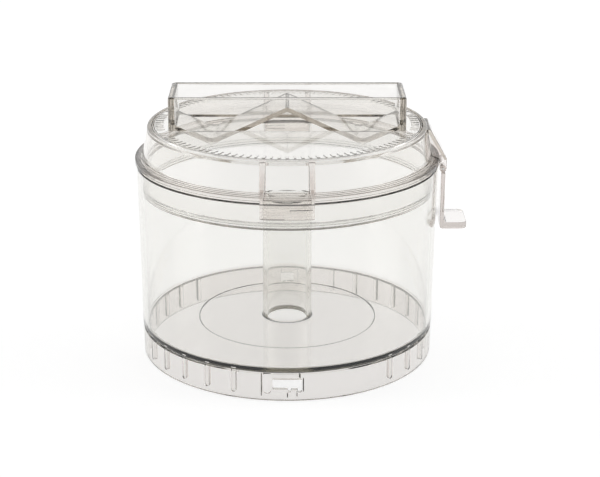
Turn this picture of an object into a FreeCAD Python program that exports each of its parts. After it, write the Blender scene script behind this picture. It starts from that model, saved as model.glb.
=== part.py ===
"""Clear work bowl with a locking cover.

A drafted cylindrical bowl with a hollow centre hub stands on a ribbed collar
with two bayonet catches.  The cover plugs into the rim, lifts straight off and
turns a few degrees to lock two tabs under lugs on the rim.  A trough-shaped
grip crosses the cover, and a hinged lever hangs from a bracket at its side.

Frame: millimetres, +Z up, origin on the hub axis in the plane of the collar's
lower edge.  -Y is the front, the lever is at +X.
"""
import FreeCAD, Part
import Sketcher
import math
import os

V = FreeCAD.Vector
doc = FreeCAD.newDocument("work_bowl_with_cover")

# ---------------------------------------------------------------- dimensions
sheet = doc.addObject("Spreadsheet::Sheet", "dims")
DIMS = [
    # bowl
    ("rim_rad", 74.2, "outer radius of the bowl wall at the rim"),
    ("base_rad", 73.3, "outer radius of the bowl wall at the floor"),
    ("wall", 2.4, "bowl wall thickness"),
    ("rim_z", 97.0, "height of the rim"),
    ("floor_low", 14.1, "plane where the wall stands on the collar"),
    ("floor_raise", 0.5, "underside of the floor above that plane"),
    ("floor_thick", 1.5, "floor thickness"),
    ("floor_drop", 0.4, "how far the centre of the floor is let down"),
    ("drop_rad", 44.5, "radius of the let-down centre"),
    ("hub_rad", 12.3, "outer radius of the hub"),
    ("hub_bore", 10.2, "radius of the hub's bore"),
    ("hub_top", 78.5, "height of the hub"),
    # lugs on the rim
    ("lug_rad", 75.3, "outer radius of a rim lug"),
    ("lug_low", 93.4, "underside of a rim lug"),
    ("lug_thick", 1.6, "height of a rim lug"),
    ("lug_start", 1.1, "start of a rim lug beside the tab's middle"),
    ("lug_end", 11.6, "end of a rim lug beside the tab's middle"),
    # collar
    ("collar_rad", 72.9, "outer radius of the collar"),
    ("collar_wall", 2.4, "collar wall thickness"),
    ("rib_deep", 1.6, "how far a collar rib stands inwards"),
    ("rib_wide", 2.4, "width of a collar rib"),
    ("rib_low", 2.0, "lower end of a collar rib"),
    ("rib_pitch", 11.51, "angle between collar ribs"),
    ("rib_first", 44.0, "angle of the first rib from the catch"),
    ("catch_left", 12.0, "catch panel, left of the middle"),
    ("catch_right", 7.4, "catch panel, right of the middle"),
    ("window_left", 6.7, "catch window, left of the middle"),
    ("window_right", 6.0, "catch window, right of the middle"),
    ("window_low", 6.3, "lower edge of the catch window"),
    ("window_high", 10.9, "upper edge of the catch window"),
    ("groove_left", 11.0, "entry groove, left edge"),
    ("groove_right", 7.9, "entry groove, right edge"),
    ("groove_low", 3.2, "lower end of the entry groove"),
    # cover
    ("flange_rad", 74.8, "outer radius of the cover's flange"),
    ("flange_low", 97.3, "underside of the flange"),
    ("flange_high", 101.0, "top of the flange at its outer edge"),
    ("plug_rad", 71.2, "outer radius of the plug skirt"),
    ("plug_wall", 2.3, "thickness of the plug skirt"),
    ("plug_low", 84.3, "lower edge of the plug skirt"),
    ("groove_deep", 1.2, "depth of the seal groove"),
    ("groove_bottom", 86.2, "lower side of the seal groove"),
    ("groove_top", 87.9, "upper side of the seal groove"),
    ("dome_foot", 70.8, "outer radius at the foot of the raised part"),
    ("dome_foot_z", 102.4, "height at the foot of the raised part"),
    ("dome_head", 68.4, "outer radius at the head of the raised part"),
    ("dome_wall", 2.4, "wall thickness of the raised part"),
    ("plate_low", 114.0, "underside of the top plate"),
    ("plate_thick", 2.0, "thickness of the top plate"),
    # seal
    ("seal_gap", 0.2, "clearance around the seal in its groove"),
    ("seal_rad", 71.45, "outer radius of the seal"),
    # grip trough
    ("grip_long", 113.0, "length of the grip"),
    ("grip_deep", 33.0, "depth of the grip, front to back"),
    ("grip_wall", 2.4, "wall thickness of the grip"),
    ("grip_round", 4.5, "plan radius of the grip's corners"),
    ("grip_top", 132.3, "height of the grip"),
    ("ridge_z", 127.4, "top of the ridge in the trough's floor"),
    ("valley_z", 110.6, "top of the valleys in the trough's floor"),
    ("valley_x", 36.3, "distance of the valleys from the middle"),
    ("end_z", 118.4, "height of the trough's floor at its ends"),
    ("tray_thick", 2.3, "height of the trough's folded floor"),
    # lock tabs
    ("tab_half", 12.4, "half the width of a lock tab"),
    ("tab_in", 75.6, "inner radius of a lock tab"),
    ("tab_out", 77.4, "outer radius of a lock tab"),
    ("tab_low", 90.8, "lower edge of a lock tab"),
    ("tab_fin", 3.2, "width of a tab's fin"),
    ("hook_in", 74.7, "inner radius of the tab's hook"),
    ("hook_high", 92.9, "top of the tab's hook"),
    # lever
    ("pin_x", 76.0, "lever pivot, distance from the hub axis"),
    ("pin_z", 95.5, "lever pivot, height"),
    ("pin_rad", 0.7, "radius of the pivot pin"),
    ("pin_play", 0.05, "radial play of the lever on its pin"),
    ("bracket_half", 11.2, "half the width of the bracket"),
    ("cheek", 2.2, "thickness of a bracket cheek"),
    ("cheek_rad", 1.7, "radius of a cheek's end about the pin"),
    ("lever_half", 11.0, "half the width of the lever"),
    ("lever_in", 75.3, "inner face of the lever"),
    ("lever_out", 77.3, "outer face of the lever"),
    ("lever_low", 64.7, "underside of the lever's foot"),
    ("foot_thick", 3.3, "thickness of the lever's foot"),
    ("foot_out", 88.7, "outer end of the lever's foot"),
    ("knuckle_rad", 1.5, "radius of the lever's knuckle"),
]


class Size:
    """A number together with the sheet formula that it comes from."""

    def __init__(self, text, value):
        self.text, self.value = text, float(value)

    @staticmethod
    def of(other):
        return other if isinstance(other, Size) else Size(repr(float(other)), other)

    def _two(self, other, sign, value):
        return Size("(%s %s %s)" % (self.text, sign, Size.of(other).text), value)

    def __add__(self, o):
        return self._two(o, "+", self.value + Size.of(o).value)

    def __sub__(self, o):
        return self._two(o, "-", self.value - Size.of(o).value)

    def __mul__(self, o):
        return self._two(o, "*", self.value * Size.of(o).value)

    def __truediv__(self, o):
        return self._two(o, "/", self.value / Size.of(o).value)

    def __neg__(self):
        return Size("(0 - %s)" % self.text, -self.value)


class Sizes:
    pass


d = Sizes()
for row, (alias, value, note) in enumerate(DIMS, start=1):
    sheet.set("A%d" % row, note)
    sheet.set("B%d" % row, repr(value))
    sheet.setAlias("B%d" % row, alias)
    setattr(d, alias, Size("dims." + alias, value))
doc.recompute()


# ------------------------------------------------------------------- helpers
def new_body(name, label=None):
    body = doc.addObject("PartDesign::Body", name)
    body.Label = label or name
    return body


def plane_of(body, role):
    return [f for f in body.Origin.OriginFeatures if f.Role == role][0]


def outline(body, name, role, points):
    """Closed outline of straight sides; each corner is tied to the sheet."""
    sk = body.newObject("Sketcher::SketchObject", name)
    sk.AttachmentSupport = [(plane_of(body, role), "")]
    sk.MapMode = "FlatFace"
    pts = [(Size.of(u), Size.of(v)) for u, v in points]
    n = len(pts)
    for i in range(n):
        (u0, v0), (u1, v1) = pts[i], pts[(i + 1) % n]
        sk.addGeometry(Part.LineSegment(V(u0.value, v0.value, 0), V(u1.value, v1.value, 0)), False)
    for i in range(n):
        sk.addConstraint(Sketcher.Constraint("Coincident", i, 2, (i + 1) % n, 1))
    for i in range(n):
        for kind, size in (("DistanceX", pts[i][0]), ("DistanceY", pts[i][1])):
            c = sk.addConstraint(Sketcher.Constraint(kind, i, 1, size.value))
            if "dims." in size.text:
                sk.setExpression("Constraints[%d]" % c, size.text)
    return sk


def turned(name, points, label=None):
    """A ring: its section in the XZ plane turned about Z."""
    body = new_body(name, label)
    sk = outline(body, name + "_section", "XZ_Plane", points)
    rev = body.newObject("PartDesign::Revolution", name + "_turn")
    rev.Profile = sk
    rev.ReferenceAxis = (sk, ["V_Axis"])
    rev.Angle = 360.0
    sk.Visibility = False
    return body


def pad(body, name, role, points, length, both=False):
    sk = outline(body, name + "_outline", role, points)
    feat = body.newObject("PartDesign::Pad", name)
    feat.Profile = sk
    length = Size.of(length)
    feat.Length = length.value
    if "dims." in length.text:
        feat.setExpression("Length", length.text)
    if both:
        feat.SideType = "Symmetric"
    return feat


def pocket_through(body, name, role, points, length):
    """A cut on both sides of its plane."""
    sk = outline(body, name + "_outline", role, points)
    feat = body.newObject("PartDesign::Pocket", name)
    feat.Profile = sk
    length = Size.of(length)
    feat.Length = length.value
    if "dims." in length.text:
        feat.setExpression("Length", length.text)
    feat.SideType = "Symmetric"
    return feat


def bound(obj, **sizes):
    for prop, size in sizes.items():
        size = Size.of(size)
        setattr(obj, prop, size.value)
        if "dims." in size.text:
            obj.setExpression(prop, size.text)
    return obj


def block(name, x0, x1, y0, y1, z0, z1):
    x0, x1, y0, y1, z0, z1 = [Size.of(q) for q in (x0, x1, y0, y1, z0, z1)]
    b = doc.addObject("Part::Box", name)
    bound(b, Length=x1 - x0, Width=y1 - y0, Height=z1 - z0)
    b.Placement = FreeCAD.Placement(V(x0.value, y0.value, z0.value), FreeCAD.Rotation())
    for axis, q in (("x", x0), ("y", y0), ("z", z0)):
        if "dims." in q.text:
            b.setExpression("Placement.Base." + axis, q.text)
    return b


def drum(name, radius, z0, z1):
    radius, z0, z1 = [Size.of(q) for q in (radius, z0, z1)]
    c = doc.addObject("Part::Cylinder", name)
    bound(c, Radius=radius, Height=z1 - z0)
    c.Placement = FreeCAD.Placement(V(0, 0, z0.value), FreeCAD.Rotation())
    if "dims." in z0.text:
        c.setExpression("Placement.Base.z", z0.text)
    return c


def cut(name, base, tool):
    o = doc.addObject("Part::Cut", name)
    o.Base, o.Tool = base, tool
    return o


def common(name, base, tool):
    o = doc.addObject("Part::Common", name)
    o.Base, o.Tool = base, tool
    return o


def fuse(name, *shapes):
    o = doc.addObject("Part::MultiFuse", name)
    o.Shapes = list(shapes)
    o.Refine = True
    return o


def copy_turned(name, source, degrees):
    """The same piece again, turned about the hub axis."""
    o = doc.addObject("Part::Feature", name)
    s = source.Shape.copy()
    s.rotate(V(0, 0, 0), V(0, 0, 1), degrees)
    o.Shape = s
    o.Label = name
    return o


PIECES = {}


def piece(node, obj):
    obj.Label = node
    PIECES[node] = obj
    return obj


# ----------------------------------------------------------------- the bowl
# Wall: drafted, rounded over at the foot, with a small lead-in at the rim.
wall_ring = turned("wall_ring", [
    (d.base_rad - d.wall, d.floor_low),
    (d.base_rad - 0.9, d.floor_low),
    (d.base_rad - 0.25, d.floor_low + 0.5),
    (d.base_rad, d.floor_low + 1.5),
    (d.rim_rad, d.rim_z - 0.5),
    (d.rim_rad - 0.5, d.rim_z),
    (d.rim_rad - d.wall + 0.5, d.rim_z),
    (d.rim_rad - d.wall, d.rim_z - 0.5),
])

# Two lugs on the outside of the rim, half a turn apart, beside the tabs.
lug_band = cut("lug_band",
               drum("lug_outer", d.lug_rad, d.lug_low, d.lug_low + d.lug_thick),
               drum("lug_inner", d.rim_rad - 1.0, d.lug_low - 1.0, d.lug_low + d.lug_thick + 1.0))
lug_front = common("lug_front", lug_band,
                   block("lug_front_span", d.lug_start, d.lug_end, -(d.lug_rad + 1.0), -(d.rim_rad - 10.0),
                         d.lug_low - 1.0, d.lug_low + d.lug_thick + 1.0))
lug_band_b = cut("lug_band_b",
                 drum("lug_outer_b", d.lug_rad, d.lug_low, d.lug_low + d.lug_thick),
                 drum("lug_inner_b", d.rim_rad - 1.0, d.lug_low - 1.0, d.lug_low + d.lug_thick + 1.0))
lug_back = common("lug_back", lug_band_b,
                  block("lug_back_span", -d.lug_end, -d.lug_start, d.rim_rad - 10.0, d.lug_rad + 1.0,
                        d.lug_low - 1.0, d.lug_low + d.lug_thick + 1.0))
piece("bowl_wall", fuse("bowl_wall", wall_ring, lug_front, lug_back))

# Floor: an outer ring and a centre let down by a small step.
floor_under = d.floor_low + d.floor_raise
floor_top = floor_under + d.floor_thick
floor_edge = d.base_rad - d.wall - 0.03
piece("bowl_floor", turned("bowl_floor", [
    (d.hub_rad + 0.03, floor_under - d.floor_drop),
    (d.drop_rad, floor_under - d.floor_drop),
    (d.drop_rad + 0.4, floor_under),
    (floor_edge, floor_under),
    (floor_edge, floor_top),
    (d.drop_rad + 0.2, floor_top),
    (d.drop_rad - 0.2, floor_top - d.floor_drop),
    (d.hub_rad + 0.03, floor_top - d.floor_drop),
]))

# Hub: a plain sleeve for the drive shaft, open at both ends.
piece("hub_sleeve", turned("hub_sleeve", [
    (d.hub_bore, floor_under - d.floor_drop),
    (d.hub_rad, floor_under - d.floor_drop),
    (d.hub_rad, d.hub_top - 0.8),
    (d.hub_rad - 0.7, d.hub_top),
    (d.hub_bore, d.hub_top),
]))

# --------------------------------------------------------------- the collar
collar_in = d.collar_rad - d.collar_wall
collar = turned("collar_ring", [
    (collar_in, 0.0),
    (d.collar_rad - 0.5, 0.0),
    (d.collar_rad, 0.5),
    (d.collar_rad, d.floor_low - 0.9),
    (d.collar_rad - 0.7, d.floor_low),
    (collar_in, d.floor_low),
])


def ribs(body, name, first):
    """One run of ribs on the collar's inner face, up to the opposite catch."""
    a = math.radians(first)
    sk = body.newObject("Sketcher::SketchObject", name + "_outline")
    sk.AttachmentSupport = [(plane_of(body, "XY_Plane"), "")]
    sk.MapMode = "FlatFace"
    sk.AttachmentOffset = FreeCAD.Placement(V(0, 0, d.rib_low.value), FreeCAD.Rotation(V(0, 0, 1), first))
    sk.setExpression("AttachmentOffset.Base.z", d.rib_low.text)
    low, high = -(collar_in + 0.6), -(collar_in - d.rib_deep)
    half = d.rib_wide / 2.0
    corners = [(-half, low), (half, low), (half * 0.7, high), (-half * 0.7, high)]
    for i in range(4):
        (u0, v0), (u1, v1) = corners[i], corners[(i + 1) % 4]
        sk.addGeometry(Part.LineSegment(V(u0.value, v0.value, 0), V(u1.value, v1.value, 0)), False)
    for i in range(4):
        sk.addConstraint(Sketcher.Constraint("Coincident", i, 2, (i + 1) % 4, 1))
    for i in range(4):
        for kind, size in (("DistanceX", corners[i][0]), ("DistanceY", corners[i][1])):
            c = sk.addConstraint(Sketcher.Constraint(kind, i, 1, size.value))
            sk.setExpression("Constraints[%d]" % c, size.text)
    one = body.newObject("PartDesign::Pad", name + "_one")
    one.Profile = sk
    bound(one, Length=d.floor_low - d.rib_low - 0.6)
    run = body.newObject("PartDesign::PolarPattern", name + "_run")
    run.Originals = [one]
    run.Axis = (plane_of(body, "Z_Axis"), [""])
    run.Occurrences = 11
    bound(run, Angle=d.rib_pitch * 10.0)
    body.Tip = run
    return run


ribs(collar, "ribs_right", d.rib_first.value)
doc.recompute()
ribs(collar, "ribs_left", d.rib_first.value + 180.0)
doc.recompute()

catch_box = (-(d.catch_left), d.catch_right)
gap_front = block("catch_gap_front", -d.catch_left, d.catch_right, -(d.collar_rad + 2.0), -(collar_in - 4.0),
                  Size.of(-1.0), d.floor_low - 0.9)
gap_back = block("catch_gap_back", -d.catch_right, d.catch_left, collar_in - 4.0, d.collar_rad + 2.0,
                 Size.of(-1.0), d.floor_low - 0.9)
piece("base_collar", cut("base_collar", collar, fuse("catch_gaps", gap_front, gap_back)))

# Catch panel: a piece of the collar's wall with an entry groove, a window
# that the base's lug turns into, and a stop at the window's far end.
catch_band = cut("catch_band", drum("catch_outer", d.collar_rad, 0.4, d.floor_low - 0.93),
                 drum("catch_inner", collar_in - 0.6, -1.0, d.floor_low + 1.0))
catch_panel = common("catch_panel", catch_band,
                     block("catch_span", 0.03 - d.catch_left.value, d.catch_right - 0.03,
                           -(d.collar_rad + 2.0), -(collar_in - 4.0), Size.of(0.0), d.floor_low))
window = block("catch_window", -d.window_left, d.window_right, -(d.collar_rad + 2.0), -(collar_in - 4.0),
               d.window_low, d.window_high)
window_step = block("catch_window_step", Size.of(0.6), d.window_right - 0.8, -(d.collar_rad + 2.0), -(collar_in - 4.0),
                    d.window_low - 2.4, d.window_low + 0.5)
entry = block("catch_entry", -d.groove_left, -d.groove_right, -(d.collar_rad - 1.3), -(collar_in - 4.0),
              d.groove_low, d.floor_low)
catch = piece("bayonet_catch_front",
              cut("bayonet_catch_front", catch_panel, fuse("catch_cuts", window, window_step, entry)))
doc.recompute()
piece("bayonet_catch_back", copy_turned("bayonet_catch_back", catch, 180.0))

# ---------------------------------------------------------------- the cover
plug_in = d.plug_rad - d.plug_wall
piece("lid_ring", turned("lid_ring", [
    (plug_in, d.plug_low),
    (d.plug_rad - 1.6, d.plug_low),
    (d.plug_rad, d.plug_low + 0.7),
    (d.plug_rad, d.groove_bottom),
    (d.plug_rad - d.groove_deep, d.groove_bottom),
    (d.plug_rad - d.groove_deep, d.groove_top),
    (d.plug_rad, d.groove_top),
    (d.plug_rad, d.flange_low),
    (d.flange_rad - 1.4, d.flange_low),
    (d.flange_rad, d.flange_low + 0.8),
    (d.flange_rad, d.flange_high - 1.2),
    (d.flange_rad - 0.5, d.flange_high - 0.3),
    (d.flange_rad - 1.3, d.flange_high),
    (d.dome_foot + 0.7, d.dome_foot_z - 0.7),
    (d.dome_foot, d.dome_foot_z),
    (d.dome_head, d.plate_low),
    (d.dome_head - d.dome_wall, d.plate_low),
    (d.dome_foot - d.dome_wall, d.dome_foot_z),
    (plug_in, d.flange_high - 1.5),
]))

plate_top = d.plate_low + d.plate_thick
lid_disc = turned("lid_disc", [
    (Size.of(0.0), d.plate_low),
    (d.dome_head, d.plate_low),
    (d.dome_head - 0.25, d.plate_low + 0.8),
    (d.dome_head - 0.8, d.plate_low + 1.5),
    (d.dome_head - 1.8, plate_top),
    (Size.of(0.0), plate_top),
])


def rounded_rect(body, name, long_, deep, round_, z, tall):
    """Upright block with rounded plan corners, both sizes from the sheet."""
    sk = body.newObject("Sketcher::SketchObject", name + "_plan")
    sk.AttachmentSupport = [(plane_of(body, "XY_Plane"), "")]
    sk.MapMode = "FlatFace"
    z = Size.of(z)
    sk.AttachmentOffset = FreeCAD.Placement(V(0, 0, z.value), FreeCAD.Rotation())
    sk.setExpression("AttachmentOffset.Base.z", z.text)
    hx, hy = long_ / 2.0, deep / 2.0
    pts = [(-hx, -hy), (hx, -hy), (hx, hy), (-hx, hy)]
    for i in range(4):
        (u0, v0), (u1, v1) = pts[i], pts[(i + 1) % 4]
        sk.addGeometry(Part.LineSegment(V(u0.value, v0.value, 0), V(u1.value, v1.value, 0)), False)
    for i in range(4):
        sk.addConstraint(Sketcher.Constraint("Coincident", i, 2, (i + 1) % 4, 1))
    for i in range(4):
        for kind, size in (("DistanceX", pts[i][0]), ("DistanceY", pts[i][1])):
            c = sk.addConstraint(Sketcher.Constraint(kind, i, 1, size.value))
            sk.setExpression("Constraints[%d]" % c, size.text)
    feat = body.newObject("PartDesign::Pad", name)
    feat.Profile = sk
    bound(feat, Length=tall)
    doc.recompute()
    upright = []
    for i, e in enumerate(feat.Shape.Edges, start=1):
        box = e.BoundBox
        if box.ZLength > 0.5 * Size.of(tall).value and box.XLength < 0.01 and box.YLength < 0.01:
            upright.append("Edge%d" % i)
    fil = body.newObject("PartDesign::Fillet", name + "_round")
    fil.Base = (feat, upright)
    bound(fil, Radius=round_)
    body.Tip = fil
    doc.recompute()
    return fil


slot = new_body("grip_slot")
rounded_rect(slot, "grip_slot_block", d.grip_long + 0.06, d.grip_deep + 0.06, d.grip_round + 0.03,
             d.plate_low - 8.0, Size.of(0.0) + d.grip_top - d.plate_low + 16.0)
piece("lid_top", cut("lid_top", lid_disc, slot))

# Grip: four walls around the trough.  Their lower edge is level with the
# plate, and follows the folded floor where its valleys hang below the plate.
ridge_low = d.ridge_z - d.tray_thick
valley_low = d.valley_z - d.tray_thick
inner_half = d.grip_long / 2.0 - d.grip_wall
grip_out = new_body("grip_outer")
rounded_rect(grip_out, "grip_outer_block", d.grip_long, d.grip_deep, d.grip_round,
             valley_low, d.grip_top - valley_low)
grip_in = new_body("grip_inner")
rounded_rect(grip_in, "grip_inner_block", d.grip_long - d.grip_wall * 2.0, d.grip_deep - d.grip_wall * 2.0,
             d.grip_round - d.grip_wall, valley_low - 2.0, d.grip_top - valley_low + 4.0)
below = new_body("grip_below")
slope_in = (d.ridge_z - d.valley_z) / d.valley_x              # floor slope towards the middle
slope_out = (d.end_z - d.valley_z) / (inner_half - d.valley_x)  # and towards the ends
cross_in = d.valley_x - (d.plate_low - valley_low) / slope_in
cross_out = d.valley_x + (d.plate_low - valley_low) / slope_out
deep_under = valley_low - 6.0
pad(below, "grip_below_cut", "XZ_Plane", [
    (-(d.grip_long), deep_under),
    (d.grip_long, deep_under),
    (d.grip_long, d.plate_low),
    (cross_out, d.plate_low),
    (d.valley_x, valley_low),
    (cross_in, d.plate_low),
    (-cross_in, d.plate_low),
    (-d.valley_x, valley_low),
    (-cross_out, d.plate_low),
    (-(d.grip_long), d.plate_low),
], d.grip_deep * 3.0, both=True)
piece("grip_walls", cut("grip_walls", cut("grip_tube", grip_out, grip_in), below))

# Folded floor of the trough: down, up to a ridge, down and up.
tray = new_body("grip_floor_sheet")
edge = inner_half - 0.03
edge_z = d.end_z - slope_out * 0.03
pad(tray, "grip_floor_fold", "XZ_Plane", [
    (-edge, edge_z), (-edge, edge_z - d.tray_thick),
    (-d.valley_x, valley_low), (Size.of(0.0), ridge_low), (d.valley_x, valley_low),
    (edge, edge_z - d.tray_thick), (edge, edge_z),
    (d.valley_x, d.valley_z), (Size.of(0.0), d.ridge_z), (-d.valley_x, d.valley_z),
], d.grip_deep - d.grip_wall * 2.0 - 0.06, both=True)
doc.recompute()
tray_plan = new_body("grip_floor_plan")
rounded_rect(tray_plan, "grip_floor_plan_block", d.grip_long - d.grip_wall * 2.0 - 0.06,
             d.grip_deep - d.grip_wall * 2.0 - 0.06, d.grip_round - d.grip_wall,
             valley_low - 2.0, d.grip_top - valley_low + 4.0)
tray_trim = common("grip_floor", tray, tray_plan)
piece("grip_floor", tray_trim)

# Seal in the plug skirt's groove.
piece("lid_seal", turned("lid_seal", [
    (d.plug_rad - d.groove_deep + d.seal_gap, d.groove_bottom + d.seal_gap),
    (d.seal_rad - 0.3, d.groove_bottom + d.seal_gap),
    (d.seal_rad, d.groove_bottom + d.seal_gap + 0.4),
    (d.seal_rad, d.groove_top - d.seal_gap - 0.4),
    (d.seal_rad - 0.3, d.groove_top - d.seal_gap),
    (d.plug_rad - d.groove_deep + d.seal_gap, d.groove_top - d.seal_gap),
]))

# --------------------------------------------------------------- lock tabs
# Two upright fins on the raised part carry a tab that hangs outside the rim;
# a hook on one half of the tab turns under the rim's lug.
fin_points = [
    (-(d.dome_head - 1.2), plate_top - 0.6),
    (-(d.dome_head + 0.4), plate_top - 0.6),
    (-(d.dome_head + 1.6), plate_top - 1.8),
    (-(d.tab_out - 3.2), d.dome_foot_z + 2.0),
    (-(d.tab_out - 0.2), d.flange_high),
    (-(d.tab_out - 0.2), d.flange_low + 0.6),
    (-(d.flange_rad - 1.0), d.flange_low + 0.6),
    (-(d.dome_foot - 1.2), d.dome_foot_z),
]
fins = new_body("tab_fins")
pad(fins, "tab_fins_pad", "YZ_Plane", fin_points, d.tab_half * 2.0, both=True)
doc.recompute()
fin_gap = block("tab_fin_gap", -(d.tab_half - d.tab_fin), d.tab_half - d.tab_fin,
                -(d.tab_out + 4.0), -(d.dome_head - 8.0), d.flange_low - 4.0, plate_top + 4.0)
fin_pair = cut("tab_fin_pair", fins, fin_gap)
tab_band = cut("tab_band", drum("tab_outer", d.tab_out, d.tab_low, d.flange_high - 0.6),
               drum("tab_inner", d.tab_in, d.tab_low - 1.0, d.flange_low + 0.6))
tab_plate = common("tab_plate", tab_band,
                   block("tab_span", -d.tab_half, d.tab_half, -(d.tab_out + 2.0), -(d.flange_rad - 8.0),
                         d.tab_low, d.flange_high))
hook_band = cut("hook_band", drum("hook_outer", d.tab_in + 0.4, d.tab_low, d.hook_high),
                drum("hook_inner", d.hook_in, d.tab_low - 1.0, d.hook_high + 1.0))
hook = common("hook", hook_band,
              block("hook_span", -d.lug_end, -d.lug_start, -(d.tab_out + 2.0), -(d.flange_rad - 8.0),
                    d.tab_low, d.hook_high))
tab_raw = fuse("tab_raw", fin_pair, tab_plate, hook)
tab_cut = cut("tab_cut", tab_raw, PIECES["lid_ring"])
tab_cut2 = cut("tab_cut2", tab_cut, PIECES["lid_top"])
# the bridge from flange to tab is open inside the plug
tab_front = piece("front_lock_tab", cut("front_lock_tab", tab_cut2,
                                        drum("tab_core", d.flange_rad - 2.0, d.tab_low - 2.0, d.flange_high)))
doc.recompute()
piece("back_lock_tab", copy_turned("back_lock_tab", tab_front, 180.0))

# ------------------------------------------------------------------- lever
# Bracket: two cheeks under a sloping cover, standing on the raised part.
bracket = new_body("bracket_block")
cover_top = (d.dome_head + 1.0, plate_top - 0.6)
cover_end = (d.pin_x + d.cheek_rad, d.pin_z + 5.1)
pad(bracket, "bracket_pad", "XZ_Plane", [
    (d.dome_head - 1.4, plate_top - 1.2),
    cover_top,
    cover_end,
    (d.pin_x + d.cheek_rad, d.pin_z),      # the cheeks end round about the pin
    (d.pin_x + d.cheek_rad * 0.866, d.pin_z - d.cheek_rad * 0.5),
    (d.pin_x + d.cheek_rad * 0.5, d.pin_z - d.cheek_rad * 0.866),
    (d.pin_x, d.pin_z - d.cheek_rad),
    (d.pin_x - d.cheek_rad * 0.5, d.pin_z - d.cheek_rad * 0.866),
    (d.pin_x - d.cheek_rad * 0.85, d.pin_z - d.cheek_rad * 0.5),
    (d.pin_x - d.cheek_rad * 0.85, d.flange_low + 0.8),
    (d.dome_foot - 1.2, d.flange_low + 0.8),
    (d.dome_foot - 1.2, d.dome_foot_z),
], d.bracket_half * 2.0, both=True)
doc.recompute()
pocket_through(bracket, "bracket_inside", "XZ_Plane", [
    (d.dome_head - 6.0, plate_top - 2.6),
    (d.dome_head - 0.4, plate_top - 2.6),
    (d.pin_x + 0.6, d.pin_z + 4.2),
    (d.pin_x + 6.0, d.pin_z + 3.2),
    (d.pin_x + 6.0, d.pin_z - 8.0),
    (d.dome_head - 6.0, d.pin_z - 8.0),
], (d.bracket_half - d.cheek) * 2.0)
doc.recompute()


def rod(name, radius, half):
    radius, half = Size.of(radius), Size.of(half)
    c = doc.addObject("Part::Cylinder", name)
    bound(c, Radius=radius, Height=half * 2.0)
    c.Placement = FreeCAD.Placement(V(d.pin_x.value, half.value, d.pin_z.value), FreeCAD.Rotation(V(1, 0, 0), 90))
    c.setExpression("Placement.Base.x", d.pin_x.text)
    c.setExpression("Placement.Base.y", half.text)
    c.setExpression("Placement.Base.z", d.pin_z.text)
    return c


bracket_cut = cut("bracket_cut", bracket, rod("cheek_bore", d.pin_rad + 0.01, d.bracket_half + 4.0))
bracket_cut2 = cut("bracket_cut2", bracket_cut, PIECES["lid_ring"])
piece("lever_bracket", cut("lever_bracket", bracket_cut2, PIECES["lid_top"]))

piece("lever_pin", rod("lever_pin", d.pin_rad, d.bracket_half))

# Lever: a flat arm with a knuckle on the pin and a foot turned outwards.
lever = new_body("lever_arm")
pad(lever, "lever_pad", "XZ_Plane", [
    (d.lever_in, d.lever_low),
    (d.foot_out - 0.8, d.lever_low),
    (d.foot_out, d.lever_low + 0.8),
    (d.foot_out, d.lever_low + d.foot_thick - 0.8),
    (d.foot_out - 0.8, d.lever_low + d.foot_thick),
    (d.lever_out + 1.2, d.lever_low + d.foot_thick),
    (d.lever_out, d.lever_low + d.foot_thick + 1.2),
    (d.lever_out, d.pin_z - 0.2),
    (d.lever_in, d.pin_z - 0.2),
], d.lever_half * 2.0, both=True)
doc.recompute()
shoulder_l = block("lever_shoulder_left", d.lever_in - 5.0, d.lever_out + 5.0,
                   -(d.lever_half + 2.0), -(d.bracket_half - d.cheek - 0.3), d.pin_z - 2.4, d.pin_z + 6.0)
shoulder_r = block("lever_shoulder_right", d.lever_in - 5.0, d.lever_out + 5.0,
                   d.bracket_half - d.cheek - 0.3, d.lever_half + 2.0, d.pin_z - 2.4, d.pin_z + 6.0)
lever_arm = cut("lever_necked", lever, fuse("lever_shoulders", shoulder_l, shoulder_r))
knuckle = rod("lever_knuckle", d.knuckle_rad, d.bracket_half - d.cheek - 0.3)
lever_raw = fuse("lever_raw", lever_arm, knuckle)
piece("lock_lever", cut("lock_lever", lever_raw, rod("lever_bore", d.pin_rad + d.pin_play, d.bracket_half + 6.0)))

# ------------------------------------------------------------ check and write
doc.recompute()
bad = []
for o in doc.Objects:
    if any(s in ("Invalid", "Error") for s in o.State):
        bad.append("%s: %s" % (o.Name, o.State))
for node, o in PIECES.items():
    if o.Shape.isNull() or not o.Shape.isValid():
        bad.append(node + ": shape is null or not valid")
    elif len(o.Shape.Solids) != 1:
        bad.append("%s: %d solids" % (node, len(o.Shape.Solids)))
if bad:
    raise RuntimeError("; ".join(bad))

os.makedirs("parts", exist_ok=True)
for node, o in PIECES.items():
    o.Shape.exportStep("parts/%s.step" % node)
    b = o.Shape.BoundBox
    print("%-20s %9.1f mm3  x %.1f..%.1f  y %.1f..%.1f  z %.1f..%.1f" % (
        node, o.Shape.Volume, b.XMin, b.XMax, b.YMin, b.YMax, b.ZMin, b.ZMax))
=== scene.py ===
"""Looks of the clear work bowl with its locking cover.

Each clear moulding is one closed mesh, so that light bends only where the
plastic really ends.  Sizes are in millimetres in the lists below and in metres
in the meshes; the frame is the CAD part's own.
"""
import bpy
import bmesh
import math
from mathutils import Matrix, Vector


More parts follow.
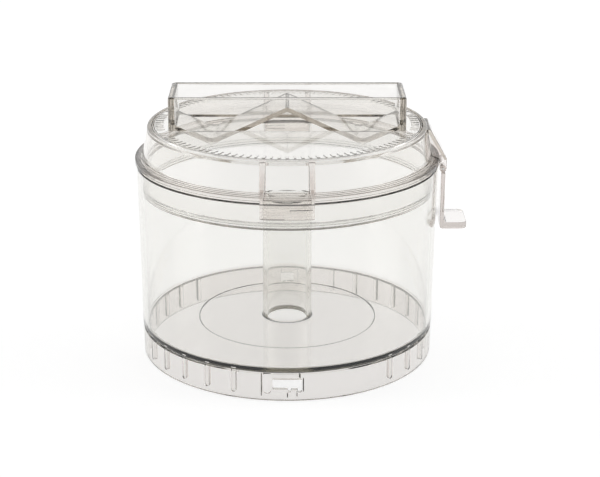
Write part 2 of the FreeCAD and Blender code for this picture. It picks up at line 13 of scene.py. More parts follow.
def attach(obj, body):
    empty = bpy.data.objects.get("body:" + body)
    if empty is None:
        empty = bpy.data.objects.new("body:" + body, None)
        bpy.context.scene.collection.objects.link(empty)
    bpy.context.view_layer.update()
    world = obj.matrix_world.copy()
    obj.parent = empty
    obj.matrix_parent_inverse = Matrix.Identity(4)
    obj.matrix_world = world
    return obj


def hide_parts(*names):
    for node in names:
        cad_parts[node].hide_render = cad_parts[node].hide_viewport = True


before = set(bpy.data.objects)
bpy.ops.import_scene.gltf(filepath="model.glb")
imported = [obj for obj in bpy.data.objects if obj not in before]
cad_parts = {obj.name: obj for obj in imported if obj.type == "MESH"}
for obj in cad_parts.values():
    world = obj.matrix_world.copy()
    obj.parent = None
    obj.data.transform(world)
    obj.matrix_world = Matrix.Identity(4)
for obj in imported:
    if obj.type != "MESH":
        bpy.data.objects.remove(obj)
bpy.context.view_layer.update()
MM = 0.001
scene = bpy.context.scene


# ------------------------------------------------------------------ outlines
def arc_corners(points, step=12.0, closed=True):
    """Rounds a polygon's corners. Each point is (u, v) or (u, v, radius)."""
    pts = [(p[0], p[1], p[2] if len(p) > 2 else 0.0) for p in points]
    n = len(pts)
    out = []
    for i, (u, v, rad) in enumerate(pts):
        p = Vector((u, v))
        if rad <= 0.0 or (not closed and i in (0, n - 1)):
            out.append((u, v))
            continue
        a = Vector(pts[i - 1][:2]) - p
        b = Vector(pts[(i + 1) % n][:2]) - p
        la, lb = a.length, b.length
        a.normalize()
        b.normalize()
        ang = math.acos(max(-1.0, min(1.0, a.dot(b))))
        if ang > math.pi - 0.02:
            out.append((u, v))
            continue
        t = rad / math.tan(ang / 2.0)
        t_max = 0.48 * min(la, lb)
        if t > t_max:
            t = t_max
            rad = t * math.tan(ang / 2.0)
        bis = (a + b).normalized()
        c = p + bis * (rad / math.sin(ang / 2.0))
        s = p + a * t
        e = p + b * t
        a0 = math.atan2(s.y - c.y, s.x - c.x)
        a1 = math.atan2(e.y - c.y, e.x - c.x)
        d = a1 - a0
        while d > math.pi:
            d -= 2 * math.pi
        while d < -math.pi:
            d += 2 * math.pi
        k = max(2, int(math.ceil(abs(math.degrees(d)) / step)))
        for j in range(k + 1):
            x = a0 + d * j / k
            out.append((c.x + rad * math.cos(x), c.y + rad * math.sin(x)))
    return out


def braced(section, near=0.4, long=2.5):
    """Extra points close to the ends of long straight runs, and a few along very long ones."""
    out = []
    n = len(section)
    for i in range(n):
        (r0, z0), (r1, z1) = section[i], section[(i + 1) % n]
        size = math.hypot(r1 - r0, z1 - z0)
        out.append((r0, z0))
        if size > long:
            cuts = [near / size] + [k / 6.0 for k in range(1, 6) if size > 20.0] + [1 - near / size]
            out += [(r0 + (r1 - r0) * t, z0 + (z1 - z0) * t) for t in cuts]
    return out


# -------------------------------------------------------------------- meshes
def to_object(name, bm, clean=True):
    if clean:
        bmesh.ops.remove_doubles(bm, verts=bm.verts, dist=1e-7)
    bmesh.ops.recalc_face_normals(bm, faces=bm.faces)
    me = bpy.data.meshes.new(name)
    bm.to_mesh(me)
    bm.free()
    ob = bpy.data.objects.new(name, me)
    scene.collection.objects.link(ob)
    return ob


SEGS = 384


def revolve(name, section, segs=SEGS):
    """Closed section in (r, z), turned about Z. Points on the axis become poles."""
    bm = bmesh.new()
    rings = []
    for r, z in section:
        if r < 1e-6:
            rings.append([bm.verts.new((0, 0, z * MM))])
        else:
            rings.append([bm.verts.new((r * MM * math.cos(2 * math.pi * k / segs),
                                        r * MM * math.sin(2 * math.pi * k / segs), z * MM)) for k in range(segs)])
    n = len(rings)
    for i in range(n):
        a, b = rings[i], rings[(i + 1) % n]
        if len(a) == 1 and len(b) == 1:
            continue
        for k in range(segs):
            k1 = (k + 1) % segs
            if len(a) == 1:
                bm.faces.new((a[0], b[k1], b[k]))
            elif len(b) == 1:
                bm.faces.new((a[k], a[k1], b[0]))
            else:
                bm.faces.new((a[k], a[k1], b[k1], b[k]))
    return to_object(name, bm)


def prism(name, poly, plane, lo, hi, bevel=0.0, segs=3):
    """Polygon in one plane drawn out along the third axis from lo to hi."""
    place = {"XZ": lambda u, v, w: (u, w, v), "YZ": lambda u, v, w: (w, u, v), "XY": lambda u, v, w: (u, v, w)}[plane]
    bm = bmesh.new()
    a = [bm.verts.new([c * MM for c in place(u, v, lo)]) for u, v in poly]
    b = [bm.verts.new([c * MM for c in place(u, v, hi)]) for u, v in poly]
    n = len(poly)
    for i in range(n):
        bm.faces.new((a[i], a[(i + 1) % n], b[(i + 1) % n], b[i]))
    bm.faces.new(a)
    bm.faces.new(list(reversed(b)))
    bmesh.ops.recalc_face_normals(bm, faces=bm.faces)
    if bevel > 0:
        ring = set(a), set(b)
        edges = [e for e in bm.edges if any(e.verts[0] in s and e.verts[1] in s for s in ring)]
        bmesh.ops.bevel(bm, geom=edges, offset=bevel * MM, offset_type="OFFSET", segments=segs, profile=0.5,
                        affect="EDGES", clamp_overlap=True)
    bmesh.ops.triangulate(bm, faces=[f for f in bm.faces if len(f.verts) > 4])
    return to_object(name, bm)


def sector(name, r0, r1, a0, a1, z0, z1, bevel=0.0, steps=24):
    """Part of a ring: radii, angles in degrees from -Y towards +X, and heights."""
    poly = []
    for k in range(steps + 1):
        a = math.radians(a0 + (a1 - a0) * k / steps)
        poly.append((r1 * math.sin(a), -r1 * math.cos(a)))
    for k in range(steps + 1):
        a = math.radians(a1 + (a0 - a1) * k / steps)
        poly.append((r0 * math.sin(a), -r0 * math.cos(a)))
    return prism(name, poly, "XY", z0, z1, bevel)


def lathe_rod(name, x, z, y0, y1, rad, chamfer=0.2, segs=48):
    """Round rod along Y with chamfered ends."""
    bm = bmesh.new()
    rows = [(y0, 0.0), (y0, rad - chamfer), (y0 + chamfer, rad), (y1 - chamfer, rad), (y1, rad - chamfer), (y1, 0.0)]
    rings = []
    for y, r in rows:
        if r < 1e-9:
            rings.append([bm.verts.new((x * MM, y * MM, z * MM))])
        else:
            rings.append([bm.verts.new(((x + r * math.cos(2 * math.pi * k / segs)) * MM, y * MM,
                                        (z + r * math.sin(2 * math.pi * k / segs)) * MM)) for k in range(segs)])
    for a, b in zip(rings, rings[1:]):
        for k in range(segs):
            k1 = (k + 1) % segs
            if len(a) == 1:
                bm.faces.new((a[0], b[k], b[k1]))
            elif len(b) == 1:
                bm.faces.new((a[k1], a[k], b[0]))
            else:
                bm.faces.new((a[k], b[k], b[k1], a[k1]))
    return to_object(name, bm)


def merge(name, objs):
    """Several meshes that don't touch each other, as one object."""
    bm = bmesh.new()
    for o in objs:
        bm.from_mesh(o.data)
        me = o.data
        bpy.data.objects.remove(o)
        bpy.data.meshes.remove(me)
    return to_object(name, bm, clean=False)


def boolean(base, other, how):
    """base with other added ("UNION") or taken away ("DIFFERENCE"); other is used up."""
    mod = base.modifiers.new("b", "BOOLEAN")
    mod.operation = how
    mod.solver = "MANIFOLD"
    mod.object = other
    bpy.context.view_layer.update()
    dg = bpy.context.evaluated_depsgraph_get()
    me = bpy.data.meshes.new_from_object(base.evaluated_get(dg))
    base.modifiers.clear()
    old = base.data
    base.data = me
    me.name = base.name
    bpy.data.meshes.remove(old)
    om = other.data
    bpy.data.objects.remove(other)
    bpy.data.meshes.remove(om)
    return base


def smooth(ob, angle=32.0):
    """Smooth shading with normals weighted by face area, so that flat walls stay flat beside their rounded edges."""
    me = ob.data
    me.polygons.foreach_set("use_smooth", [True] * len(me.polygons))
    me.set_sharp_from_angle(angle=math.radians(angle))
    me.update()
    mod = ob.modifiers.new("w", "WEIGHTED_NORMAL")
    mod.mode = "FACE_AREA_WITH_ANGLE"
    mod.weight = 50
    mod.thresh = 0.0
    mod.keep_sharp = True
    bpy.context.view_layer.update()
    dg = bpy.context.evaluated_depsgraph_get()
    new = bpy.data.meshes.new_from_object(ob.evaluated_get(dg), preserve_all_data_layers=True, depsgraph=dg)
    ob.modifiers.clear()
    ob.data = new
    new.name = ob.name
    bpy.data.meshes.remove(me)


def turn(ob, degrees):
    ob.data.transform(Matrix.Rotation(math.radians(degrees), 4, "Z"))
    return ob


def copy_of(ob, name):
    o = bpy.data.objects.new(name, ob.data.copy())
    scene.collection.objects.link(o)
    return o


# ------------------------------------------------------------------ the bowl
bowl_section = arc_corners([
    (72.9, 0.0, 0.25),
    (72.9, 13.4, 0.45),
    (72.1, 14.0, 0.12),
    (73.2, 15.1, 0.9),
    (74.2, 97.0, 0.5),
    (71.8, 97.0, 0.5),
    (70.9, 16.1, 1.2),
    (44.65, 16.1, 0.1),
    (44.35, 15.8, 0.1),
    (12.3, 15.8, 0.7),
    (12.1, 78.5, 0.6),
    (10.2, 78.5, 0.5),
    (10.2, 14.3, 0.3),
    (44.5, 14.3, 0.1),
    (44.8, 14.6, 0.1),
    (70.5, 14.6, 0.6),
    (70.5, 0.0, 0.25),
], step=15.0)
bowl = revolve("bowl_moulding", braced(bowl_section))

# Ribs on the collar's inner face: bars with a rounded lower end.
def collar_rib(name, angle):
    half, z_end, z_top = 1.2, 2.1, 15.2
    bar = [(half * math.cos(math.radians(a)), z_end + half + half * math.sin(math.radians(a)))
           for a in range(180, 361, 12)] + [(half, z_top), (-half, z_top)]
    o = prism(name, bar, "XZ", -71.3, -68.95, 0.22, 2)
    return turn(o, angle)


rib_angles = [44.0 + 11.51 * k for k in range(11)]
rib_angles += [a + 180.0 for a in rib_angles]
boolean(bowl, merge("ribs", [collar_rib("rib", a) for a in rib_angles]), "UNION")

# Rim lugs, front and back.
lug = sector("lug", 73.0, 75.3, 0.84, 8.9, 93.4, 95.0, 0.25)
boolean(bowl, merge("lugs", [copy_of(lug, "lug2"), turn(lug, 180.0)]), "UNION")


# Catches: an entry groove on the inside, a window, and parting lines cut as narrow deep vees.
def vee(x, z0, z1, wide, deep):
    face = math.sqrt(72.9 ** 2 - x ** 2)
    k = 0.5 * wide * (deep + 0.4) / deep
    return prism("v", [(x - k, -(face + 0.4)), (x + k, -(face + 0.4)), (x, -(face - deep))], "XY", z0, z1)


def catch_cuts(deg):
    parts = []
    window = arc_corners([(-6.9, 5.8, 0.5), (0.4, 5.8, 0.2), (0.4, 4.4, 0.3), (1.6, 4.4, 0.3), (1.6, 5.6, 0.4),
                          (5.0, 5.6, 0.4), (5.0, 4.2, 0.5), (6.9, 4.2, 0.9), (6.9, 10.9, 0.5), (-6.9, 10.9, 0.5)], 20)
    parts.append(prism("w", window, "XZ", -75.0, -66.0))
    groove = arc_corners([(-11.2, 13.0, 0.5), (-11.2, 3.2, 1.6), (-7.6, 3.2, 1.6), (-7.6, 13.0, 0.5)], 15)
    parts.append(prism("g", groove, "XZ", -71.1, -66.0))
    parts.append(vee(-12.1, 2.0, 13.3, 0.55, 1.6))
    parts.append(vee(5.9, 11.2, 13.6, 0.8, 2.2))
    parts.append(vee(7.6, 4.6, 11.6, 0.5, 1.5))
    parts.append(vee(0.1, 1.6, 4.2, 0.5, 1.5))
    parts.append(vee(4.6, 2.0, 5.2, 0.4, 1.2))
    for p in parts:
        turn(p, deg)
    return parts


for deg in (0.0, 180.0):
    for p in catch_cuts(deg):
        boolean(bowl, p, "DIFFERENCE")
smooth(bowl)

# ----------------------------------------------------------------- the cover
cover_section = arc_corners([
    (68.9, 85.0, 0.1),
    (70.0, 84.3, 0.1),
    (71.0, 84.3, 0.1),
    (71.2, 84.6, 0.1),
    (71.2, 84.9),
    (70.1, 85.1),
    (71.2, 85.3),
    (71.2, 86.2, 0.08),
    (70.0, 86.2, 0.1),
    (70.0, 87.9, 0.1),
    (71.2, 87.9, 0.08),
    (71.2, 97.3, 0.3),
    (73.4, 97.3, 0.2),
    (74.8, 98.1, 0.2),
    (74.8, 98.8, 0.08),
    (74.62, 98.9, 0.05),
    (74.8, 99.0, 0.08),
    (74.8, 100.4, 0.4),
    (73.9, 100.4, 0.12),
    (73.8, 100.85, 0.12),
    (73.0, 100.85, 0.12),
    (72.9, 101.3, 0.12),
    (72.1, 101.3, 0.12),
    (72.0, 101.75, 0.12),
    (71.2, 101.75, 0.12),
    (70.9, 102.2, 0.3),
    (68.4, 116.0, 1.7),
    (66.35, 116.0),
    (66.1, 115.4),
    (65.85, 116.0),
    (65.45, 116.0),
    (65.2, 115.5),
    (64.95, 116.0),
    (0.0, 116.0),
    (0.0, 114.8),
    (65.0, 114.8, 0.2),
    (66.25, 113.3, 0.3),
    (68.4, 102.4, 1.0),
    (68.9, 99.5, 1.5),
], step=15.0)
cover = revolve("cover_moulding", braced(cover_section))


def rect_loop(hx, hy, rad, n=10):
    pts = []
    for cx, cy, a0 in ((hx - rad, hy - rad, 0), (-(hx - rad), hy - rad, 90), (-(hx - rad), -(hy - rad), 180),
                       (hx - rad, -(hy - rad), 270)):
        for k in range(n + 1):
            a = math.radians(a0 + 90.0 * k / n)
            pts.append((cx + rad * math.cos(a), cy + rad * math.sin(a)))
    return pts


HX, HY, GW, GR = 57.2, 16.5, 2.4, 2.2
GX = 3.1                                                    # the end walls are thicker
GTOP = 132.3
slot = prism("slot", rect_loop(HX - 0.4, HY - 0.4, GR - 0.4), "XY", 100.0, 140.0)
boolean(cover, slot, "DIFFERENCE")


def grip_tube():
    """Four walls with a rounded rim, from below the valleys to the top."""
    bm = bmesh.new()
    rim = 1.0
    rows = [(0.0, 106.0)]
    rows += [(rim * (1 - math.cos(math.pi / 2 * k / 5)), GTOP - rim + rim * math.sin(math.pi / 2 * k / 5))
             for k in range(6)]
    rows += [(GW - rim * (1 - math.sin(math.pi / 2 * k / 5)), GTOP - rim + rim * math.cos(math.pi / 2 * k / 5))
             for k in range(6)]
    rows += [(GW, 106.0)]
    loops = [[bm.verts.new((x * MM, y * MM, z * MM)) for x, y in rect_loop(HX - o * GX / GW, HY - o, max(0.6, GR - o))]
             for o, z in rows]
    n = len(loops[0])
    m = len(loops)
    for i in range(m):
        a, b = loops[i], loops[(i + 1) % m]
        for k in range(n):
            bm.faces.new((a[k], a[(k + 1) % n], b[(k + 1) % n], b[k]))
    return to_object("grip_tube", bm)


RIDGE, VALLEY, VX, ENDZ, TT = 127.4, 110.6, 36.3, 118.4, 2.3
IN_X = HX - GX
slope_in = (RIDGE - VALLEY) / VX
slope_out = (ENDZ - VALLEY) / (IN_X - VX)
PL = 114.8
vlow = VALLEY - TT
cx_in = VX - (PL - vlow) / slope_in
cx_out = VX + (PL - vlow) / slope_out
grip = grip_tube()
under = [(-70.0, 100.0), (70.0, 100.0), (70.0, PL), (cx_out, PL), (VX, vlow), (cx_in, PL), (-cx_in, PL), (-VX, vlow),
         (-cx_out, PL), (-70.0, PL)]
boolean(grip, prism("under", under, "XZ", -40.0, 40.0), "DIFFERENCE")
E = IN_X + 0.5
ez = VALLEY + slope_out * (E - VX)
fold = arc_corners([(-E, ez), (-E, ez - TT), (-VX, vlow + 0.02, 7.5), (0.0, RIDGE - TT, 0.8), (VX, vlow + 0.02, 7.5),
                    (E, ez - TT), (E, ez), (VX, VALLEY, 6.5), (0.0, RIDGE, 1.0), (-VX, VALLEY, 6.5)], 6.0)
tray = prism("tray", fold, "XZ", -(HY - GW + 0.5), HY - GW + 0.5)
boolean(grip, tray, "UNION")
boolean(cover, grip, "UNION")


# Ring of plain raised ticks near the plate's edge.
ticks = []
for k in range(112):
    a = 360.0 * k / 112
    x, y = 62.6 * math.sin(math.radians(a)), -62.6 * math.cos(math.radians(a))
    if abs(x) < HX + 3.0 and abs(y) < HY + 4.0:
        continue
    wide = (0.75, 0.5, 0.75, 0.6, 0.8, 0.45, 0.7)[k % 7]
    bar = arc_corners([(-wide, -64.6, 0.3), (wide, -64.6, 0.3), (wide, -60.6, 0.3), (-wide, -60.6, 0.3)], 30)
    ticks.append(turn(prism("tick", bar, "XY", 115.6, 116.3, 0.12, 1), a))
boolean(cover, merge("ticks", ticks), "UNION")


# Lock tabs: two fins and a hanging tab with a hook, front and back.
def lock_tab():
    fin = arc_corners([(-67.0, 115.3, 0.3), (-68.9, 115.5, 0.6), (-70.1, 114.2, 0.8), (-74.2, 104.4, 1.5),
                       (-77.2, 101.0, 0.8), (-77.2, 98.0, 0.2), (-73.6, 98.0), (-69.6, 102.4)], 15)
    body = prism("fin_r", fin, "YZ", 9.8, 12.6, 0.9, 4)
    left = prism("fin_l", fin, "YZ", -12.6, -9.8, 0.9, 4)
    for ob, mid in ((body, 11.2), (left, -11.2)):          # fins taper outwards, more on their inner sides
        for v in ob.data.vertices:
            t = max(0.0, min(1.0, (-v.co.y / MM - 68.0) / 9.0))
            u = v.co.x / MM - mid
            inner = u * mid < 0.0
            f = 1.15 - 0.95 * t if inner else 1.0 - 0.3 * t
            v.co.x = (mid + u * f) * MM
    plate = sector("tab", 75.6, 77.39, -9.25, 9.25, 90.8, 100.2, 0.4)
    bridge = sector("bridge", 73.9, 76.6, -9.2, 9.2, 98.2, 100.0)
    hook = sector("hook", 74.7, 76.4, -8.9, -0.84, 90.95, 92.9, 0.25)
    boolean(body, left, "UNION")
    boolean(body, plate, "UNION")
    boolean(body, bridge, "UNION")
    boolean(body, hook, "UNION")
    for z in (92.3, 94.4, 96.5):                            # fine grip lines across the tab
        boolean(body, sector("line", 77.15, 79.0, -10.5, 10.5, z, z + 0.45), "DIFFERENCE")
    return body


tab = lock_tab()
tab_back = turn(copy_of(tab, "tab_back"), 180.0)
boolean(cover, tab, "UNION")
boolean(cover, tab_back, "UNION")

# Bracket: two cheeks under a sloping cover plate.
PX, PZ, CR = 76.0, 95.5, 1.7
cheek = arc_corners([(66.9, 114.8), (69.4, 115.4, 0.8), (77.7, 100.6, 1.4), (77.7, 95.5)]
                    + [(PX + CR * math.cos(math.radians(-a)), PZ + CR * math.sin(math.radians(-a)))
                       for a in range(15, 151, 15)]
                    + [(74.55, 98.1, 0.3), (72.5, 98.1), (69.4, 102.4)], 15)
near = prism("cheek_n", cheek, "XZ", -11.2, -9.0, 0.3)
far = prism("cheek_f", cheek, "XZ", 9.0, 11.2, 0.3)
roof = arc_corners([(66.9, 114.8), (69.4, 115.4, 0.8), (77.7, 100.6, 0.7), (77.65, 99.5, 0.3), (76.6, 99.7, 0.4),
                    (68.2, 113.4)], 15)
top = prism("roof", roof, "XZ", -10.6, 10.6)
boolean(near, far, "UNION")
boolean(near, top, "UNION")
boolean(near, lathe_rod("bore", PX, PZ, -14.0, 14.0, 0.72, 0.01), "DIFFERENCE")
boolean(cover, near, "UNION")
smooth(cover)

# --------------------------------------------------------------------- seal
seal = revolve("seal_ring", arc_corners([
    (70.25, 86.4, 0.2), (71.2, 86.4, 0.2), (71.45, 86.75, 0.15), (71.45, 87.35, 0.15), (71.2, 87.7, 0.2),
    (70.25, 87.7, 0.2)], 20), SEGS)
smooth(seal)

# -------------------------------------------------------------------- lever
arm = arc_corners([(75.3, 64.7, 1.0), (77.3, 64.7), (77.3, 95.3), (75.3, 95.3)], 12)
lever = prism("lever_moulding", arm, "XZ", -11.0, 11.0, 0.45)
foot = arc_corners([(76.4, -10.99, 0.05), (88.7, -10.99, 3.6), (88.7, 10.99, 3.6), (76.4, 10.99, 0.05)], 9)
boolean(lever, prism("foot", foot, "XY", 64.71, 68.0, 0.5, 4), "UNION")
web = [(77.0, 67.6), (79.1, 67.6), (79.1, 68.0)] + [(79.1 - 1.8 * math.sin(math.radians(a)), 69.8 - 1.8 * math.cos(math.radians(a)))
                                                   for a in range(12, 91, 13)] + [(77.0, 69.8)]
boolean(lever, prism("web", web, "XZ", -10.5, 10.5), "UNION")
for sy in (-1, 1):
    lo, hi = (-14.0, -8.7) if sy < 0 else (8.7, 14.0)
    shoulder = [(70.0, 93.1), (84.0, 93.1), (84.0, 101.0), (70.0, 101.0)]
    boolean(lever, prism("sh", shoulder, "XZ", lo, hi), "DIFFERENCE")
boolean(lever, lathe_rod("knuckle", PX, PZ, -8.7, 8.7, 1.5, 0.2), "UNION")
boolean(lever, lathe_rod("lever_bore", PX, PZ, -14.0, 14.0, 0.75, 0.01), "DIFFERENCE")
smooth(lever)

pin = lathe_rod("pivot_pin", PX, PZ, -11.2, 11.2, 0.7, 0.15)
smooth(pin)


# ---------------------------------------------------------------- materials
def node_mat(name):
    m = bpy.data.materials.new(name)
    m.use_nodes = True
    nt = m.node_tree
    nt.nodes.clear()
    out = nt.nodes.new("ShaderNodeOutputMaterial")
    bsdf = nt.nodes.new("ShaderNodeBsdfPrincipled")
    nt.links.new(bsdf.outputs["BSDF"], out.inputs["Surface"])
    return m, nt, bsdf, out


def noise(nt, scale, detail=3.0, stretch=(1, 1, 1), rough=0.55):
    co = nt.nodes.new("ShaderNodeTexCoord")
    mp = nt.nodes.new("ShaderNodeMapping")
    mp.inputs["Scale"].default_value = stretch
    nz = nt.nodes.new("ShaderNodeTexNoise")
    nz.inputs["Scale"].default_value = scale
    nz.inputs["Detail"].default_value = detail
    nz.inputs["Roughness"].default_value = rough
    nt.links.new(co.outputs["Object"], mp.inputs["Vector"])
    nt.links.new(mp.outputs["Vector"], nz.inputs["Vector"])
    return nz


def ramp(nt, src, stops):
    r = nt.nodes.new("ShaderNodeValToRGB")
    cr = r.color_ramp
    while len(cr.elements) < len(stops):
        cr.elements.new(0.5)
    for e, (pos, col) in zip(cr.elements, stops):
        e.position = pos
        e.color = (*col, 1.0) if len(col) == 3 else col
    nt.links.new(src, r.inputs["Fac"])
    return r


def spread(nt, src, lo, hi):
    m = nt.nodes.new("ShaderNodeMapRange")
    m.inputs["From Min"].default_value = 0.3
    m.inputs["From Max"].default_value = 0.7
    m.inputs["To Min"].default_value = lo
    m.inputs["To Max"].default_value = hi
    nt.links.new(src, m.inputs["Value"])
    return m.outputs["Result"]


def clear_plastic(name, ior, tint_a, tint_b, absorb, density, rough=(0.004, 0.02), flow=0.002, low=None, outer_shade=None, fin_shade=None):
    """Polished clear moulding: uneven polish, faint flow lines, tint with depth."""
    m, nt, bsdf, out = node_mat(name)
    bsdf.inputs["Transmission Weight"].default_value = 1.0
    bsdf.inputs["IOR"].default_value = ior
    cloud = noise(nt, 18.0, 3.0)
    tone = ramp(nt, cloud.outputs["Fac"], [(0.3, tint_a), (0.7, tint_b)]).outputs["Color"]
    if low or outer_shade:                                        # a deeper tone below a height, or painted shade outside a radius, in metres
        edge, colour = low or outer_shade
        co = nt.nodes.new("ShaderNodeTexCoord")
        pick = nt.nodes.new("ShaderNodeSeparateXYZ" if low else "ShaderNodeVectorMath")
        up = nt.nodes.new("ShaderNodeMapRange")
        if low:
            nt.links.new(co.outputs["Object"], pick.inputs["Vector"])
            nt.links.new(pick.outputs["Z"], up.inputs["Value"])
        else:
            flat = nt.nodes.new("ShaderNodeVectorMath")
            flat.operation = "MULTIPLY"
            flat.inputs[1].default_value = (1.0, 1.0, 0.0)
            nt.links.new(co.outputs["Object"], flat.inputs[0])
            pick.operation = "LENGTH"
            nt.links.new(flat.outputs["Vector"], pick.inputs[0])
            nt.links.new(pick.outputs["Value"], up.inputs["Value"])
        up.inputs["From Min"].default_value = edge if low else edge + 0.0008
        up.inputs["From Max"].default_value = edge + 0.0008 if low else edge
        zone = ramp(nt, up.outputs["Result"], [(0.0, colour), (1.0, (1.0, 1.0, 1.0))])
        mul = nt.nodes.new("ShaderNodeMix")
        mul.data_type = "RGBA"
        mul.blend_type = "MULTIPLY"
        mul.inputs[0].default_value = 1.0
        nt.links.new(tone, mul.inputs[6])
        nt.links.new(zone.outputs["Color"], mul.inputs[7])
        tone = mul.outputs[2]
    if fin_shade:                                                # painted shade in the ribs of the lock tabs, where light guided through the plastic comes out dim
        co = nt.nodes.new("ShaderNodeTexCoord")
        xyz = nt.nodes.new("ShaderNodeSeparateXYZ")
        nt.links.new(co.outputs["Object"], xyz.inputs["Vector"])

        def sums(op, a, b=None):
            n = nt.nodes.new("ShaderNodeMath")
            n.operation = op
            for i, v in ((0, a), (1, b)):
                if v is None:
                    continue
                if isinstance(v, float):
                    n.inputs[i].default_value = v
                else:
                    nt.links.new(v, n.inputs[i])
            return n.outputs[0]

        def within(src, f0, f1):
            n = nt.nodes.new("ShaderNodeMapRange")
            n.inputs["From Min"].default_value = f0
            n.inputs["From Max"].default_value = f1
            nt.links.new(src, n.inputs["Value"])
            return n.outputs["Result"]

        off = sums("ABSOLUTE", sums("SUBTRACT", sums("ABSOLUTE", xyz.outputs["X"]), 0.0112))
        fin_shade_mask = sums("MULTIPLY", within(off, 0.0019, 0.0015), within(xyz.outputs["Z"], 0.0985, 0.099))
        fin_shade_mask = sums("MULTIPLY", fin_shade_mask, within(sums("ABSOLUTE", xyz.outputs["Y"]), 0.0660, 0.0668))
        mix = nt.nodes.new("ShaderNodeMix")
        mix.data_type = "RGBA"
        mix.blend_type = "MULTIPLY"
        nt.links.new(fin_shade_mask, mix.inputs[0])
        nt.links.new(tone, mix.inputs[6])
        mix.inputs[7].default_value = (*fin_shade, 1.0)
        tone = mix.outputs[2]
    nt.links.new(tone, bsdf.inputs["Base Color"])
    scuff = noise(nt, 95.0, 6.0, (1.0, 1.0, 0.35), 0.7)
    nt.links.new(spread(nt, scuff.outputs["Fac"], *rough), bsdf.inputs["Roughness"])
    lines = noise(nt, 30.0, 2.0, (1.0, 1.0, 0.12))
    bump = nt.nodes.new("ShaderNodeBump")
    bump.inputs["Strength"].default_value = flow
    bump.inputs["Distance"].default_value = 0.0006
    nt.links.new(lines.outputs["Fac"], bump.inputs["Height"])
    nt.links.new(bump.outputs["Normal"], bsdf.inputs["Normal"])
    vol = nt.nodes.new("ShaderNodeVolumeAbsorption")
    vol.inputs["Color"].default_value = (*absorb, 1.0)
    vol.inputs["Density"].default_value = density
    nt.links.new(vol.outputs["Volume"], out.inputs["Volume"])
    return m


bowl_mat = clear_plastic("clear_bowl_plastic", 1.57, (0.985, 0.985, 0.98), (1.0, 1.0, 0.998), (0.535, 0.515, 0.43), 56.0,
                         low=(0.0163, (0.902, 0.882, 0.875)))
# The cover gets painted shade outside its wall and in its fin ribs, standing in for light lost along the clear
# plastic.
cover_mat = clear_plastic("clear_cover_plastic", 1.57, (0.985, 0.982, 0.975), (1.0, 0.998, 0.995), (0.57, 0.52, 0.44), 52.0,
                          outer_shade=(0.0713, (0.955, 0.925, 0.918)), fin_shade=(0.90, 0.865, 0.855))
lever_mat = clear_plastic("clear_lever_plastic", 1.57, (0.985, 0.978, 0.972), (1.0, 0.997, 0.994), (0.5, 0.42, 0.37), 40.0,
                          (0.01, 0.035))


def silicone():
    m, nt, bsdf, out = node_mat("clear_seal_silicone")
    bsdf.inputs["Transmission Weight"].default_value = 0.96
    bsdf.inputs["IOR"].default_value = 1.43
    cloud = noise(nt, 60.0, 4.0)
    nt.links.new(ramp(nt, cloud.outputs["Fac"], [(0.3, (0.93, 0.93, 0.91)), (0.7, (0.97, 0.97, 0.95))]).outputs["Color"],
                 bsdf.inputs["Base Color"])
    nt.links.new(spread(nt, cloud.outputs["Fac"], 0.05, 0.14), bsdf.inputs["Roughness"])
    return m


def steel():
    m, nt, bsdf, out = node_mat("pin_ground_steel")
    bsdf.inputs["Metallic"].default_value = 1.0
    turned = noise(nt, 900.0, 3.0, (1.0, 0.05, 1.0))
    nt.links.new(ramp(nt, turned.outputs["Fac"], [(0.3, (0.5, 0.49, 0.48)), (0.7, (0.68, 0.67, 0.65))]).outputs["Color"],
                 bsdf.inputs["Base Color"])
    nt.links.new(spread(nt, turned.outputs["Fac"], 0.2, 0.38), bsdf.inputs["Roughness"])
    return m


def put(ob, mat):
    ob.data.materials.clear()
    ob.data.materials.append(mat)


for ob, mat in ((bowl, bowl_mat), (cover, cover_mat), (lever, lever_mat), (seal, silicone()), (pin, steel())):
    put(ob, mat)

# ------------------------------------------------------- riding on the frame
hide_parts("bowl_wall", "bowl_floor", "hub_sleeve", "base_collar", "bayonet_catch_front", "bayonet_catch_back")
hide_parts("lid_ring", "lid_top", "grip_walls", "grip_floor", "front_lock_tab", "back_lock_tab", "lever_bracket")
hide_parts("lid_seal")
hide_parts("lock_lever")
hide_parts("lever_pin")
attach(bowl, "bowl")
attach(cover, "cover")
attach(seal, "seal")
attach(lever, "lever")
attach(pin, "cover")

# -------------------------------------------------------------------- studio
me = bpy.data.meshes.new("floor")
s = 12.0
me.from_pydata([(-s, -s, 0), (s, -s, 0), (s, s, 0), (-s, s, 0)], [], [(0, 1, 2, 3)])
floor = bpy.data.objects.new("floor", me)
floor.location.z = -0.0002
scene.collection.objects.link(floor)
fm, nt, bsdf, out = node_mat("pale_floor")
fn = noise(nt, 6.0, 2.0)
nt.links.new(ramp(nt, fn.outputs["Fac"], [(0.3, (0.62, 0.62, 0.62)), (0.7, (0.64, 0.64, 0.64))]).outputs["Color"],
             bsdf.inputs["Base Color"])
bsdf.inputs["Roughness"].default_value = 0.9
bsdf.inputs["Specular IOR Level"].default_value = 0.1
bsdf.inputs["Emission Color"].default_value = (1.0, 1.0, 1.0, 1.0)
bsdf.inputs["Emission Strength"].default_value = 0.78
put(floor, fm)

# A pale sweep all round the table under a dark ceiling.
world = bpy.data.worlds.new("studio")
scene.world = world
world.use_nodes = True
wt = world.node_tree
wt.nodes.clear()
wo = wt.nodes.new("ShaderNodeOutputWorld")
bg = wt.nodes.new("ShaderNodeBackground")
tc = wt.nodes.new("ShaderNodeTexCoord")
sep = wt.nodes.new("ShaderNodeSeparateXYZ")
wt.links.new(tc.outputs["Generated"], sep.inputs["Vector"])


def world_ramp(src, f0, f1, t0, t1):
    m = wt.nodes.new("ShaderNodeMapRange")
    m.interpolation_type = "SMOOTHSTEP"
    for key, val in (("From Min", f0), ("From Max", f1), ("To Min", t0), ("To Max", t1)):
        m.inputs[key].default_value = val
    wt.links.new(src, m.inputs["Value"])
    return m.outputs["Result"]


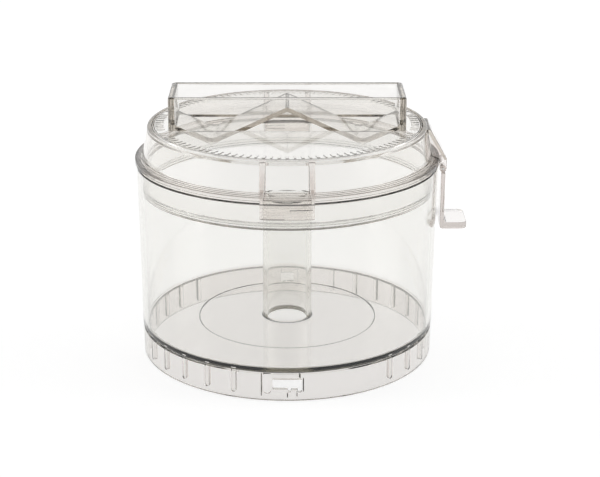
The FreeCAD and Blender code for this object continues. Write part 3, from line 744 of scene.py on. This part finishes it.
wall = world_ramp(sep.outputs["Z"], 0.45, 0.72, 1.0, 0.05)
side = world_ramp(sep.outputs["Y"], -0.85, -0.25, 0.22, 1.0)
both = wt.nodes.new("ShaderNodeMath")
both.operation = "MULTIPLY"
wt.links.new(wall, both.inputs[0])
wt.links.new(side, both.inputs[1])
wt.links.new(both.outputs[0], bg.inputs["Color"])
bg.inputs["Strength"].default_value = 1.0
wt.links.new(bg.outputs["Background"], wo.inputs["Surface"])


def softbox(name, loc, target, size, power, spread_deg=180.0):
    ld = bpy.data.lights.new(name, "AREA")
    ld.shape = "RECTANGLE"
    ld.size, ld.size_y = size
    ld.energy = power
    lo = bpy.data.objects.new(name, ld)
    lo.location = loc
    lo.rotation_euler = (Vector(target) - Vector(loc)).to_track_quat("-Z", "Y").to_euler()
    scene.collection.objects.link(lo)
    return lo


softbox("left_box", (-1.5, 0.1, 0.75), (0.0, 0.0, 0.05), (1.1, 1.2), 5.0)
softbox("right_box", (1.5, 0.1, 0.75), (0.0, 0.0, 0.05), (1.1, 1.2), 5.0)

# ------------------------------------------------------------------- camera
PITCH = math.radians(19.108)
DIST = 0.79663
AIM_Z = 0.05572
cam_data = bpy.data.cameras.new("camera")
cam = bpy.data.objects.new("camera", cam_data)
scene.collection.objects.link(cam)
cam_data.sensor_fit = "HORIZONTAL"
cam_data.sensor_width = 36.0
cam_data.lens = 36.0 * 1585.97 / 600.0
cam_data.shift_x = (300.0 - 287.2) / 600.0
cam_data.clip_start = 0.01
cam_data.clip_end = 60.0
cam.location = (0.0, -DIST * math.cos(PITCH), AIM_Z + DIST * math.sin(PITCH))
cam.rotation_euler = (math.pi / 2 - PITCH, 0.0, 0.0)
scene.camera = cam

scene.view_settings.view_transform = "Standard"
scene.view_settings.look = "None"
scene.cycles.max_bounces = 28
scene.cycles.transmission_bounces = 28
scene.cycles.glossy_bounces = 14
scene.cycles.diffuse_bounces = 4
scene.cycles.transparent_max_bounces = 16
scene.cycles.use_denoising = True
